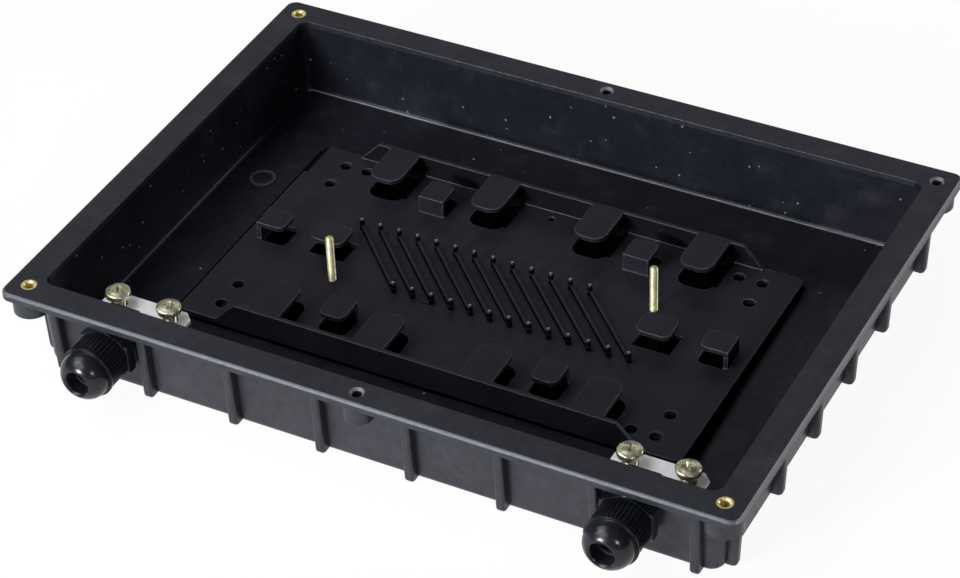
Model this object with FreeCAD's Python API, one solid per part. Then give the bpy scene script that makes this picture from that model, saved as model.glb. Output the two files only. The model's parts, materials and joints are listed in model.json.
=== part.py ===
"""Fibre optic joint box: an open moulded base with its splice tray, cable glands and cable clamps.

The frame has its origin at the centre of the base's underside, +X along the long side,
-Y towards the cable glands and +Z up. All sizes are in millimetres.
"""
import FreeCAD
import Part
import math
import os

os.makedirs("parts", exist_ok=True)
Vector = FreeCAD.Vector
UP = Vector(0, 0, 1)
OUT = Vector(0, -1, 0)

# Moulded base
box_length = 275.0
box_width = 201.0
box_height = 34.0
flange_width = 11.2
flange_thickness = 3.0
flange_corner_radius = 4.0
rim_edge_radius = 1.2
opening_edge_radius = 0.25
wall_thickness = 2.8
wall_draft = 1.6
opening_corner_radius = 4.0
floor_thickness = 3.6
floor_fillet = 1.6
base_edge_radius = 2.5

# Stiffening ribs outside the walls
rib_width = 3.4
rib_projection = 3.5
rib_edge_radius = 1.0
rib_foot_radius = 2.0
front_rib_pairs = 3
gland_rib_gap = 13.05
front_end_rib_inset = 17.5
side_rib_pitch = 31.0
side_rib_pairs = 2
side_end_rib_inset = 17.0

# Lid screw points round the rim
rim_hole_inset = 7.8
middle_hole_inset = 5.6
rim_hole_diameter = 3.4
rim_hole_chamfer = 0.9
corner_boss_diameter = 13.0
middle_boss_diameter = 10.4
rim_boss_depth = 7.0
rim_hole_depth = 8.0
insert_diameter = 5.6
insert_length = 7.0
insert_chip_space = 1.0
insert_bore = 3.3
insert_lead_in = 0.5

# Round mark moulded in the floor
floor_mark_inset = 26.5
floor_mark_y = 29.0
floor_mark_diameter = 10.0
floor_mark_width = 1.2
floor_mark_height = 0.6

# Splice tray
tray_length = 194.0
tray_width = 107.4
tray_plate = 2.0
tray_stand = 1.4
tray_corner_radius = 3.0
tray_wall_height = 8.4
tray_wall_thickness = 1.6
tray_wall_top_length = 147.0
tray_wall_foot_length = 163.0
tray_foot_diameter = 9.0
tray_foot_inset = 14.0

# Fibre retaining tabs along the tray walls
tab_width = 12.5
tab_reach = 18.5
tab_thickness = 1.8
tab_pitch = 41.5
tab_pairs = 2
tab_end_radius = 4.6
core_clearance = 0.6

# Fibre hooks standing on the tray
hook_width = 10.0
hook_reach = 11.0
hook_height = 7.0
hook_thickness = 1.8
hook_end_radius = 2.6
side_hook_x = 41.0
side_hook_inset = 21.9
end_hook_inset = 5.0
end_hook_y = 1.7
centre_hook_x = 63.8
centre_hook_y = 0.7
centre_hook_length = 13.0
centre_hook_width = 11.0
centre_hook_stem = 4.0

# Splice holder
fin_count = 13
fin_pitch = 7.63
fin_slant = 28.0
fin_half_span = 14.0
fin_thickness = 1.2
fin_height = 2.2
post_diameter = 1.9
post_height = 4.6

# Tie holes in the tray corners
tie_hole_diameter = 4.4
tie_hole_end_inset = 12.8
tie_hole_far_end_inset = 21.8
tie_hole_side_inset = 8.5
tie_hole_far_side_inset = 20.5
pilot_hole_diameter = 2.4
pilot_hole_inset = 5.7

# Tray studs
stud_diameter = 3.0
stud_x = 55.4
stud_y = 16.2
stud_top = 25.4
stud_depth = 3.2
stud_tip_chamfer = 0.5
stud_hole_clearance = 0.3
stud_boss_diameter = 8.0

# Cable glands
gland_inset = 39.7
gland_height = 18.0
gland_thread_diameter = 15.8
gland_hole_clearance = 0.2
gland_pad_diameter = 20.0
gland_pad_proud = 0.3
gland_washer_diameter = 20.0
gland_washer_thickness = 1.0
gland_hex_flats = 19.0
gland_hex_thickness = 4.5
gland_hex_chamfer = 0.8
gland_tail_length = 12.5
gland_bore = 9.4
gland_neck_diameter = 15.0
gland_neck_length = 5.0
claw_diameter = 12.8
claw_length = 6.0
claw_slot_count = 6
claw_slot_width = 1.4
seal_bore = 7.0
seal_lip = 1.0
cap_length = 17.0
cap_gap = 0.4
cap_clearance = 0.35
cap_grip_diameter = 19.0
cap_grip_length = 9.2
cap_ridge_diameter = 19.6
cap_ridge_length = 0.9
cap_dome_diameter = 17.6
cap_dome_swell_in = 0.24
cap_dome_swell_out = 0.66
cap_front_diameter = 10.4
cap_hole_diameter = 8.6
cap_lip_radius = 0.6
cap_flute_count = 40
cap_flute_radius = 0.45
locknut_flats = 20.0
locknut_thickness = 4.8

# Cable clamps
clamp_setback = 17.3
clamp_screw_spacing = 20.6
clamp_boss_diameter = 9.0
clamp_bar_height = 16.4
clamp_bar_length = 34.0
clamp_bar_width = 11.5
clamp_bar_thickness = 1.6
clamp_bar_corner = 3.2
clamp_bar_clearance = 0.3
clamp_screw_diameter = 5.0
clamp_screw_spare = 1.0
clamp_screw_lift = 3.8
clamp_head_diameter = 9.0
clamp_head_height = 2.9
clamp_head_edge = 0.9
clamp_head_crown = 1.0
cross_recess_span = 4.6
cross_recess_width = 1.1
cross_recess_depth = 1.6
clamp_insert_diameter = 7.0
clamp_insert_length = 9.0

# Places worked out from the sizes above
half_length = box_length / 2
half_width = box_width / 2
flange_bottom = box_height - flange_thickness
opening_half_x = half_length - flange_width
opening_half_y = half_width - flange_width
wall_half_x = opening_half_x + wall_thickness
wall_half_y = opening_half_y + wall_thickness
wall_corner_radius = opening_corner_radius + wall_thickness
draft_slope = wall_draft / box_height
rim_hole_x = half_length - rim_hole_inset
rim_hole_y = half_width - rim_hole_inset
middle_hole_y = half_width - middle_hole_inset
tray_bottom = floor_thickness + tray_stand
tray_top = tray_bottom + tray_plate
tray_half_x = tray_length / 2
tray_half_y = tray_width / 2
side_hook_y = tray_half_y - side_hook_inset
end_hook_x = tray_half_x - end_hook_inset
pilot_hole_y = tray_half_y - pilot_hole_inset
gland_pad_face = wall_half_y + gland_pad_proud
gland_wall_face = opening_half_y - wall_draft - gland_pad_proud
gland_x = half_length - gland_inset
front_rib_pitch = (gland_x - gland_rib_gap) / (front_rib_pairs - 0.5)
clamp_y = opening_half_y - clamp_setback
clamp_bar_top = clamp_bar_height + clamp_bar_thickness
clamp_head_bottom = clamp_bar_top + clamp_screw_lift
hex_face = gland_pad_face + gland_washer_thickness
neck_face = hex_face + gland_hex_thickness
cap_back = neck_face + cap_gap
cap_front = cap_back + cap_length


def cylinder(diameter, height, base, axis=UP):
    return Part.makeCylinder(diameter / 2, height, base, axis)


def box_between(low, high):
    size = high - low
    return Part.makeBox(size.x, size.y, size.z, low)


def fuse(shapes):
    solid = shapes[0]
    if len(shapes) > 1:
        solid = solid.multiFuse(shapes[1:])
    return solid.removeSplitter()


def rounded_plate(length, width, radius, bottom, thickness):
    """Flat plate with rounded corners, centred on the Z axis."""
    corner = Vector(-length / 2, -width / 2, bottom)
    plate = Part.makeBox(length, width, thickness, corner)
    upright = [edge for edge in plate.Edges if edge.BoundBox.ZLength > thickness / 2]
    return plate.makeFillet(radius, upright)


def placed(shape, x, y, angle):
    copy = shape.copy()
    copy.rotate(Vector(), UP, angle)
    copy.translate(Vector(x, y, 0))
    return copy


def edges_at(solid, height, tolerance=1e-4):
    def level(z):
        return abs(z - height) < tolerance

    return [edge for edge in solid.Edges if level(edge.BoundBox.ZMin) and level(edge.BoundBox.ZMax)]


def drafted_block(half_x, half_y, radius, bottom, top):
    """Block with rounded corners that leans in towards its bottom; sizes are those at the rim."""
    lean_top = (box_height - top) * draft_slope
    lean_bottom = (box_height - bottom) * draft_slope
    centre_x = half_x - radius
    centre_y = half_y - radius

    def slab(half_run, half_span, turned):
        corners = [(-half_span + lean_bottom, bottom), (half_span - lean_bottom, bottom),
                   (half_span - lean_top, top), (-half_span + lean_top, top)]
        if turned:
            points = [Vector(across, -half_run, z) for across, z in corners]
            sweep = Vector(0, 2 * half_run, 0)
        else:
            points = [Vector(-half_run, across, z) for across, z in corners]
            sweep = Vector(2 * half_run, 0, 0)
        return Part.Face(Part.makePolygon(points + points[:1])).extrude(sweep)

    pieces = [slab(centre_x, half_y, False), slab(centre_y, half_x, True)]
    for x in (-centre_x, centre_x):
        for y in (-centre_y, centre_y):
            pieces.append(Part.makeCone(radius - lean_bottom, radius - lean_top, top - bottom,
                                        Vector(x, y, bottom)))
    return fuse(pieces)


def hexagon(flats, thickness, base, axis, chamfer=0.0):
    """Hexagonal prism with a corner up, its outer face chamfered round."""
    radius = flats / math.sqrt(3)
    angles = [i * math.pi / 3 for i in range(7)]
    points = [Vector(radius * math.sin(angle), 0, radius * math.cos(angle)) for angle in angles]
    prism = Part.Face(Part.makePolygon(points)).extrude(axis * thickness)
    prism.translate(base)
    if chamfer:
        turned = Part.makeCone(radius, radius - 2 * chamfer, 2 * chamfer,
                               base + axis * (thickness - chamfer), axis)
        straight = Part.makeCylinder(radius, thickness - chamfer, base, axis)
        prism = prism.common(straight.fuse(turned))
    return prism


def rib_places(pitch, pairs, end_place):
    inner = [(i + 0.5) * pitch for i in range(pairs)]
    return [side * place for place in inner + [end_place] for side in (-1, 1)]


def make_rib(wall_half):
    """Upright rib along +Y whose nose leans with a wall at the given distance from the centre."""
    root = wall_half - wall_draft - wall_thickness / 2
    nose_foot = wall_half + rib_projection - wall_draft
    nose_top = wall_half + rib_projection - flange_thickness * draft_slope
    outline = [Vector(-rib_width / 2, y, z) for y, z in
               ((root, 0), (nose_foot, 0), (nose_top, flange_bottom), (root, flange_bottom))]
    rib = Part.Face(Part.makePolygon(outline + outline[:1])).extrude(Vector(rib_width, 0, 0))
    foot = [edge for edge in edges_at(rib, 0) if edge.CenterOfMass.y > nose_foot - rib_foot_radius
            and edge.BoundBox.XLength > rib_width / 2]
    rib = rib.makeFillet(rib_foot_radius, foot)
    nose = [edge for edge in rib.Edges if edge.BoundBox.XLength < rib_width / 2
            and edge.BoundBox.ZLength > rib_foot_radius / 2 and edge.CenterOfMass.y > wall_half]
    return rib.makeFillet(rib_edge_radius, nose)


def make_ribs():
    ribs = []
    front_rib = make_rib(wall_half_y)
    for x in rib_places(front_rib_pitch, front_rib_pairs, half_length - front_end_rib_inset):
        ribs += [placed(front_rib, x, 0, turn) for turn in (0, 180)]
    side_rib = make_rib(wall_half_x)
    for y in rib_places(side_rib_pitch, side_rib_pairs, half_width - side_end_rib_inset):
        ribs += [placed(side_rib, 0, y, turn) for turn in (90, -90)]
    return ribs


def rim_points():
    """Lid screw points: four corners and the middle of each long side."""
    corners = [Vector(x, y, 0) for x in (-rim_hole_x, rim_hole_x) for y in (-rim_hole_y, rim_hole_y)]
    return corners + [Vector(0, y, 0) for y in (-middle_hole_y, middle_hole_y)]


def insert_points():
    """The corners that hold a brass insert: both on the left, and the front one on the right."""
    return [Vector(-rim_hole_x, -rim_hole_y, 0), Vector(-rim_hole_x, rim_hole_y, 0),
            Vector(rim_hole_x, -rim_hole_y, 0)]


def clamp_points(side):
    centre = Vector(side * gland_x, -clamp_y, 0)
    half = Vector(clamp_screw_spacing / 2, 0, 0)
    return [centre - half, centre + half]


def stud_points():
    return [Vector(-stud_x, -stud_y, 0), Vector(stud_x, stud_y, 0)]


def at_height(point, z):
    return Vector(point.x, point.y, z)


def on_opening(bounds):
    """True for the bounds of an edge that runs round the opening and not round the flange."""
    reach_x = max(abs(bounds.XMin), abs(bounds.XMax))
    reach_y = max(abs(bounds.YMin), abs(bounds.YMax))
    margin = wall_thickness / 2
    return reach_x < opening_half_x + margin and reach_y < opening_half_y + margin


def make_box_shell():
    flange = rounded_plate(box_length, box_width, flange_corner_radius, flange_bottom, flange_thickness)
    flange = flange.makeFillet(rim_edge_radius, edges_at(flange, box_height))
    wall = drafted_block(wall_half_x, wall_half_y, wall_corner_radius, 0, flange_bottom)
    wall = wall.makeFillet(base_edge_radius, edges_at(wall, 0))
    bosses = [cylinder(corner_boss_diameter if point.x else middle_boss_diameter, rim_boss_depth,
                       at_height(point, flange_bottom - rim_boss_depth)) for point in rim_points()]
    pads = [cylinder(gland_pad_diameter, gland_pad_face - opening_half_y,
                     Vector(side * gland_x, -opening_half_y, gland_height), OUT) for side in (-1, 1)]
    solid = fuse([flange, wall] + make_ribs() + bosses + pads)

    cavity = drafted_block(opening_half_x, opening_half_y, opening_corner_radius,
                           floor_thickness, box_height)
    cavity = cavity.makeFillet(floor_fillet, edges_at(cavity, floor_thickness))
    solid = solid.cut(cavity)
    solid = solid.makeFillet(opening_edge_radius, [edge for edge in edges_at(solid, box_height)
                                                   if on_opening(edge.BoundBox)])

    inside = []
    foot_x = tray_half_x - tray_foot_inset
    foot_y = tray_half_y - tray_foot_inset
    for x in (-foot_x, foot_x):
        for y in (-foot_y, foot_y):
            inside.append(cylinder(tray_foot_diameter, tray_bottom, Vector(x, y, 0)))
    inside += [cylinder(stud_boss_diameter, tray_bottom, point) for point in stud_points()]
    for side in (-1, 1):
        inside += [cylinder(clamp_boss_diameter, clamp_bar_height, point) for point in clamp_points(side)]
        inside.append(cylinder(gland_pad_diameter, wall_half_y - gland_wall_face,
                               Vector(side * gland_x, -gland_wall_face, gland_height), OUT))
    mark_place = Vector(floor_mark_inset - half_length, floor_mark_y, floor_thickness)
    mark = cylinder(floor_mark_diameter, floor_mark_height, mark_place)
    mark = mark.cut(cylinder(floor_mark_diameter - 2 * floor_mark_width, floor_mark_height, mark_place))
    # The round features grow out of the floor, so each starts inside it and stops at its own height.
    floor_slab = box_between(Vector(-half_length, -half_width, 0),
                             Vector(half_length, half_width, floor_thickness / 2))
    solid = fuse([solid] + [piece.cut(floor_slab) for piece in inside] + [mark])

    holes = []
    brass_points = insert_points()
    for point in rim_points():
        brass = any(point.isEqual(other, 1e-6) for other in brass_points)
        if brass:
            pocket = insert_length + insert_chip_space
            holes.append(cylinder(insert_diameter, pocket, at_height(point, box_height - pocket)))
        else:
            holes.append(Part.makeCone(rim_hole_diameter / 2, rim_hole_diameter / 2 + rim_hole_chamfer,
                                       rim_hole_chamfer, at_height(point, box_height - rim_hole_chamfer)))
            holes.append(cylinder(rim_hole_diameter, rim_hole_depth,
                                  at_height(point, box_height - rim_hole_depth)))
    for point in stud_points():
        holes.append(cylinder(stud_diameter, stud_depth, at_height(point, tray_bottom - stud_depth)))
    for side in (-1, 1):
        for point in clamp_points(side):
            holes.append(cylinder(clamp_insert_diameter, clamp_insert_length,
                                  at_height(point, clamp_bar_height - clamp_insert_length)))
        holes.append(cylinder(gland_thread_diameter + 2 * gland_hole_clearance,
                              gland_pad_face - gland_wall_face,
                              Vector(side * gland_x, -gland_wall_face, gland_height), OUT))
    return solid.cut(Part.makeCompound(holes)).removeSplitter()


def tab_outline(width, reach, end_radius, bottom, thickness):
    """Flat tongue from the origin along +Y, square at its root and rounded at its free end."""
    tongue = Part.makeBox(width, reach, thickness, Vector(-width / 2, 0, bottom))
    tip = [edge for edge in tongue.Edges
           if edge.BoundBox.ZLength > thickness / 2 and edge.CenterOfMass.y > reach / 2]
    return tongue.makeFillet(end_radius, tip)


def hook_parts():
    """One fibre hook and the opening under it, its wall at the origin and its tongue along +Y."""
    top = tray_top + hook_height
    tongue = tab_outline(hook_width, hook_reach, hook_end_radius, top - hook_thickness, hook_thickness)
    wall = Part.makeBox(hook_width, hook_thickness, top - tray_bottom,
                        Vector(-hook_width / 2, 0, tray_bottom))
    opening = tab_outline(hook_width + 2 * core_clearance, hook_reach - hook_thickness + core_clearance,
                          hook_end_radius, tray_bottom, tray_plate)
    opening.translate(Vector(0, hook_thickness, 0))
    return fuse([tongue, wall]), opening


def centre_hook_parts():
    """Double-ended hook on a narrow stem, with an opening under each end."""
    top = tray_top + hook_height
    under = top - hook_thickness
    head = rounded_plate(centre_hook_length, centre_hook_width, hook_end_radius, under, hook_thickness)
    stem_half_width = centre_hook_width / 2 - hook_thickness
    stem = box_between(Vector(-centre_hook_stem / 2, -stem_half_width, tray_bottom),
                       Vector(centre_hook_stem / 2, stem_half_width, under))
    openings = []
    for side in (-1, 1):
        reach = (centre_hook_length - centre_hook_stem) / 2 + core_clearance
        middle = side * (centre_hook_stem + reach) / 2
        openings.append(box_between(Vector(middle - reach / 2, -centre_hook_width / 2, tray_bottom),
                                    Vector(middle + reach / 2, centre_hook_width / 2, tray_top)))
    return fuse([head, stem]), Part.makeCompound(openings)


def tray_wall():
    """The front wall, with ends that slope down to the plate."""
    top = tray_top + tray_wall_height
    front = -tray_half_y
    foot = tray_wall_foot_length / 2
    crest = tray_wall_top_length / 2
    outline = [Vector(x, front, z) for x, z in ((-foot, tray_bottom), (foot, tray_bottom), (foot, tray_top),
                                                (crest, top), (-crest, top), (-foot, tray_top))]
    return Part.Face(Part.makePolygon(outline + outline[:1])).extrude(Vector(0, tray_wall_thickness, 0))


def make_fins():
    """Slanted fins of the splice holder, each with a taller post at both ends."""
    length = math.hypot(fin_slant, 2 * fin_half_span)
    angle = math.degrees(math.atan2(-2 * fin_half_span, fin_slant))
    blade = Part.makeBox(length, fin_thickness, fin_height,
                         Vector(-length / 2, -fin_thickness / 2, tray_top))
    pieces = []
    for i in range(fin_count):
        x = (i - (fin_count - 1) / 2) * fin_pitch
        pieces.append(placed(blade, x, 0, angle))
        for end in (-1, 1):
            foot = Vector(x + end * fin_slant / 2, -end * fin_half_span, tray_top)
            pieces.append(cylinder(post_diameter, post_height, foot))
    return pieces


def make_splice_tray():
    wall_inside = tray_half_y - tray_wall_thickness
    plate = rounded_plate(tray_length, tray_width, tray_corner_radius, tray_bottom, tray_plate)
    tab_bottom = tray_top + tray_wall_height - tab_thickness
    tab = tab_outline(tab_width, tab_reach, tab_end_radius, tab_bottom, tab_thickness)
    tab_core = tab_outline(tab_width + 2 * core_clearance, tab_reach + core_clearance, tab_end_radius,
                           tray_bottom, tray_plate)
    hook, hook_core = hook_parts()
    centre_hook, centre_core = centre_hook_parts()
    raised = make_fins()
    openings = []
    for turn in (0, 180):
        way = 1 if turn == 0 else -1
        raised.append(placed(tray_wall(), 0, 0, turn))
        for i in range(-tab_pairs, tab_pairs):
            x = way * (i + 0.5) * tab_pitch
            raised.append(placed(tab, x, -way * wall_inside, turn))
            openings.append(placed(tab_core, x, -way * wall_inside, turn))
        for x in (-side_hook_x, side_hook_x):
            raised.append(placed(hook, way * x, -way * side_hook_y, turn + 180))
            openings.append(placed(hook_core, way * x, -way * side_hook_y, turn + 180))
        raised.append(placed(hook, -way * end_hook_x, -way * end_hook_y, turn - 90))
        openings.append(placed(hook_core, -way * end_hook_x, -way * end_hook_y, turn - 90))
        raised.append(placed(centre_hook, way * centre_hook_x, way * centre_hook_y, turn))
        openings.append(placed(centre_core, way * centre_hook_x, way * centre_hook_y, turn))
        for end_inset, side_inset in ((tie_hole_end_inset, tie_hole_side_inset),
                                      (tie_hole_end_inset, tie_hole_far_side_inset),
                                      (tie_hole_far_end_inset, tie_hole_side_inset)):
            x = way * (tray_half_x - end_inset)
            for y in (side_inset - tray_half_y, tray_half_y - side_inset):
                openings.append(cylinder(tie_hole_diameter, tray_plate, Vector(x, y, tray_bottom)))
    for y in (-pilot_hole_y, pilot_hole_y):
        openings.append(cylinder(pilot_hole_diameter, tray_plate, Vector(0, y, tray_bottom)))
    for point in stud_points():
        openings.append(cylinder(stud_diameter + 2 * stud_hole_clearance, tray_plate,
                                 at_height(point, tray_bottom)))
    return fuse([plate.cut(Part.makeCompound(openings))] + raised)


def make_corner_inserts():
    """Brass lid-screw inserts, flush with the rim and countersunk for the screw."""
    inserts = []
    for point in insert_points():
        sleeve = cylinder(insert_diameter, insert_length, at_height(point, box_height - insert_length))
        bore = cylinder(insert_bore, insert_length, at_height(point, box_height - insert_length))
        lead_in = Part.makeCone(insert_bore / 2, insert_bore / 2 + insert_lead_in, insert_lead_in,
                                at_height(point, box_height - insert_lead_in))
        inserts.append(sleeve.cut(bore).cut(lead_in))
    return Part.makeCompound(inserts)


def make_clamp_inserts():
    """Brass inserts in the clamp bosses, flush with the boss tops."""
    inserts = []
    for side in (-1, 1):
        for point in clamp_points(side):
            base = at_height(point, clamp_bar_height - clamp_insert_length)
            sleeve = cylinder(clamp_insert_diameter, clamp_insert_length, base)
            inserts.append(sleeve.cut(cylinder(clamp_screw_diameter, clamp_insert_length, base)))
    return Part.makeCompound(inserts)


def make_tray_studs():
    studs = []
    for point in stud_points():
        base = at_height(point, tray_bottom - stud_depth)
        rod = cylinder(stud_diameter, stud_top - base.z, base)
        studs.append(rod.makeChamfer(stud_tip_chamfer, edges_at(rod, stud_top)))
    return Part.makeCompound(studs)


def make_clamp_bar(side):
    bottom = clamp_bar_height
    bar = Part.makeBox(clamp_bar_length, clamp_bar_width, clamp_bar_thickness,
                       Vector(side * gland_x - clamp_bar_length / 2, -clamp_y - clamp_bar_width / 2, bottom))
    bar = bar.makeChamfer(clamp_bar_corner, [edge for edge in bar.Edges
                                             if edge.BoundBox.ZLength > clamp_bar_thickness / 2])
    for point in clamp_points(side):
        bar = bar.cut(cylinder(clamp_screw_diameter + 2 * clamp_bar_clearance, clamp_bar_thickness,
                               at_height(point, bottom)))
    return bar


def make_clamp_screw(point):
    """Pan-head machine screw with a cross recess, standing proud of the bar."""
    radius = clamp_head_diameter / 2
    top = clamp_head_bottom + clamp_head_height
    shoulder = top - clamp_head_crown
    crown_radius = (radius ** 2 + clamp_head_crown ** 2) / (2 * clamp_head_crown)
    crown_sag = crown_radius - math.sqrt(crown_radius ** 2 - (radius / 2) ** 2)
    centre = Vector(0, 0, clamp_head_bottom)
    under_edge = Vector(radius, 0, clamp_head_bottom)
    upper_edge = Vector(radius, 0, shoulder)
    crest = Vector(0, 0, top)
    crown = Part.Arc(upper_edge, Vector(radius / 2, 0, top - crown_sag), crest)
    outline = [Part.makeLine(centre, under_edge), Part.makeLine(under_edge, upper_edge),
               crown.toShape(), Part.makeLine(crest, centre)]
    head = Part.Face(Part.Wire(outline)).revolve(Vector(), UP, 360)
    head = head.makeFillet(clamp_head_edge, edges_at(head, shoulder))
    recess_base = top - cross_recess_depth
    for turn in (0, 90):
        slot = Part.makeBox(cross_recess_span, cross_recess_width, 2 * cross_recess_depth,
                            Vector(-cross_recess_span / 2, -cross_recess_width / 2, recess_base))
        slot.rotate(Vector(), UP, turn + 45)
        head = head.cut(slot)
    tip = clamp_bar_height - clamp_insert_length + clamp_screw_spare
    shank = cylinder(clamp_screw_diameter, clamp_head_bottom - tip, Vector(0, 0, tip))
    screw = fuse([head, shank])
    screw.translate(at_height(point, 0))
    return screw


def make_clamp_screws():
    return Part.makeCompound([make_clamp_screw(point) for side in (-1, 1) for point in clamp_points(side)])


def revolved_along_gland(outline):
    """Turns an outline of (distance from the box centre plane, radius) points about the gland axis."""
    points = [Vector(radius, -distance, 0) for distance, radius in outline]
    return Part.Face(Part.makePolygon(points + points[:1])).revolve(Vector(), Vector(0, 1, 0), 360)


def on_gland(shape, side):
    shape.translate(Vector(side * gland_x, 0, gland_height))
    return shape


def make_gland_washer(side):
    ring = cylinder(gland_washer_diameter, gland_washer_thickness, Vector(0, -gland_pad_face, 0), OUT)
    hole = cylinder(gland_thread_diameter + 2 * gland_hole_clearance, gland_washer_thickness,
                    Vector(0, -gland_pad_face, 0), OUT)
    return on_gland(ring.cut(hole), side)


def make_gland_body(side):
    """Hexagonal body with a threaded tail through the wall and a ring of clamping claws in front."""
    tail_end = Vector(0, -hex_face + gland_tail_length, 0)
    tail = cylinder(gland_thread_diameter, gland_tail_length, tail_end, OUT)
    hexagonal = hexagon(gland_hex_flats, gland_hex_thickness, Vector(0, -hex_face, 0), OUT,
                        gland_hex_chamfer)
    neck = cylinder(gland_neck_diameter, gland_neck_length, Vector(0, -neck_face, 0), OUT)
    claws = cylinder(claw_diameter, claw_length, Vector(0, -neck_face - gland_neck_length, 0), OUT)
    body = fuse([tail, hexagonal, neck, claws])
    through = gland_tail_length + gland_hex_thickness + gland_neck_length + claw_length
    cuts = [cylinder(gland_bore, through, tail_end, OUT)]
    for i in range(claw_slot_count):
        slot = Part.makeBox(claw_diameter, claw_length, claw_slot_width,
                            Vector(0, -neck_face - gland_neck_length - claw_length, -claw_slot_width / 2))
        slot.rotate(Vector(), Vector(0, 1, 0), i * 360.0 / claw_slot_count)
        cuts.append(slot)
    return on_gland(body.cut(Part.makeCompound(cuts)).removeSplitter(), side)


def make_gland_seal(side):
    """Rubber sleeve inside the claws, with a lip on their front edge."""
    back = neck_face
    claw_front = neck_face + gland_neck_length + claw_length
    outer = gland_bore / 2
    lip = claw_diameter / 2 - seal_lip
    lip_front = claw_front + seal_lip
    outline = [(back, seal_bore / 2), (back, outer), (claw_front, outer), (claw_front, lip),
               (lip_front, lip), (lip_front, seal_bore / 2)]
    return on_gland(revolved_along_gland(outline), side)


def make_gland_cap(side):
    """Domed clamping nut with a fluted grip, turning on the body's neck."""
    grip_front = cap_back + cap_grip_length
    ridge_front = grip_front + cap_ridge_length
    neck_room = gland_neck_diameter / 2 + cap_clearance
    neck_room_front = neck_face + gland_neck_length + cap_clearance
    claw_room = claw_diameter / 2 + cap_clearance
    claw_room_front = neck_face + gland_neck_length + claw_length + seal_lip + cap_clearance
    hole = cap_hole_diameter / 2
    dome_start = Vector(cap_dome_diameter / 2, -ridge_front, 0)
    dome_end = Vector(cap_front_diameter / 2, -cap_front, 0)
    swell = Vector(dome_start.x - (dome_start.x - dome_end.x) * cap_dome_swell_in,
                   dome_start.y - (dome_start.y - dome_end.y) * cap_dome_swell_out, 0)
    grip = cap_grip_diameter / 2
    ridge = cap_ridge_diameter / 2
    steps = [(hole, cap_front - cap_lip_radius), (hole, claw_room_front), (claw_room, claw_room_front),
             (claw_room, neck_room_front), (neck_room, neck_room_front), (neck_room, cap_back),
             (grip, cap_back), (grip, grip_front), (ridge, grip_front), (ridge, ridge_front)]
    corners = [Vector(radius, -distance, 0) for radius, distance in steps] + [dome_start]
    lip_start = Vector(hole + cap_lip_radius, -cap_front, 0)
    edges = [Part.makeLine(a, b) for a, b in zip(corners, corners[1:])]
    edges += [Part.Arc(dome_start, swell, dome_end).toShape(), Part.makeLine(dome_end, lip_start),
              Part.makeLine(lip_start, corners[0])]
    cap = Part.Face(Part.Wire(edges)).revolve(Vector(), Vector(0, 1, 0), 360)
    flutes = []
    for i in range(cap_flute_count):
        angle = 2 * math.pi * i / cap_flute_count
        foot = Vector(grip * math.cos(angle), -cap_back, grip * math.sin(angle))
        flutes.append(cylinder(2 * cap_flute_radius, cap_grip_length, foot, OUT))
    return on_gland(cap.cut(Part.makeCompound(flutes)), side)


def make_gland_locknut(side):
    nut = hexagon(locknut_flats, locknut_thickness, Vector(0, -gland_wall_face, 0), Vector(0, 1, 0))
    hole = cylinder(gland_thread_diameter, locknut_thickness,
                    Vector(0, -gland_wall_face + locknut_thickness, 0), OUT)
    return on_gland(nut.cut(hole), side)


def save(name, shape):
    shape.exportStep("parts/%s.step" % name)


save("box_shell", make_box_shell())
save("splice_tray", make_splice_tray())
save("corner_inserts", make_corner_inserts())
save("clamp_inserts", make_clamp_inserts())
save("tray_studs", make_tray_studs())
save("clamp_screws", make_clamp_screws())
for name, side in (("left", -1), ("right", 1)):
    save(name + "_clamp_bar", make_clamp_bar(side))
    save(name + "_gland_body", make_gland_body(side))
    save(name + "_gland_washer", make_gland_washer(side))
    save(name + "_gland_seal", make_gland_seal(side))
    save(name + "_gland_cap", make_gland_cap(side))
    save(name + "_gland_locknut", make_gland_locknut(side))
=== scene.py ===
"""Looks of the fibre optic joint box: moulded base, splice tray, glands, clamps and small brass parts."""
import json
import math

import bmesh
import bpy
from mathutils import Matrix, Quaternion, Vector


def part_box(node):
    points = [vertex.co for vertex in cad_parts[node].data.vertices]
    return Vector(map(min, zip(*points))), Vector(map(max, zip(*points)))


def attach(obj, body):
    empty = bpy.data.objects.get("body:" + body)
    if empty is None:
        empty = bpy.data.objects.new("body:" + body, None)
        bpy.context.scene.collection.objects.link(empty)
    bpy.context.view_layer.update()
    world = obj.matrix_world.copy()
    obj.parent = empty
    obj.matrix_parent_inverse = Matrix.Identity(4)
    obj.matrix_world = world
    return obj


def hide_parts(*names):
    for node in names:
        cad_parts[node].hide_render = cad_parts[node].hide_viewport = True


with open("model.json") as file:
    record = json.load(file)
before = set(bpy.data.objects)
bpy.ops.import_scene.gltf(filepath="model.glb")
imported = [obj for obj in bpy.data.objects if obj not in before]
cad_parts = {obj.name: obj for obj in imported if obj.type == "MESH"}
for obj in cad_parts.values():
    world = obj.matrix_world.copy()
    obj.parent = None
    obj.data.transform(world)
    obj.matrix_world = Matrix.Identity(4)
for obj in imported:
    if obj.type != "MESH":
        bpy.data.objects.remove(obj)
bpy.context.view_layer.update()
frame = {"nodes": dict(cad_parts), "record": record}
MM = 0.001

# Camera, fitted to the photograph
camera_place = Vector((402.30, -743.21, 675.54)) * MM
camera_sight = Vector((-0.377095, 0.688742, -0.619220))
camera_roll = -2.342
camera_lens = 114.57
camera_sensor = 36.0
camera_clip = 0.01

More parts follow.
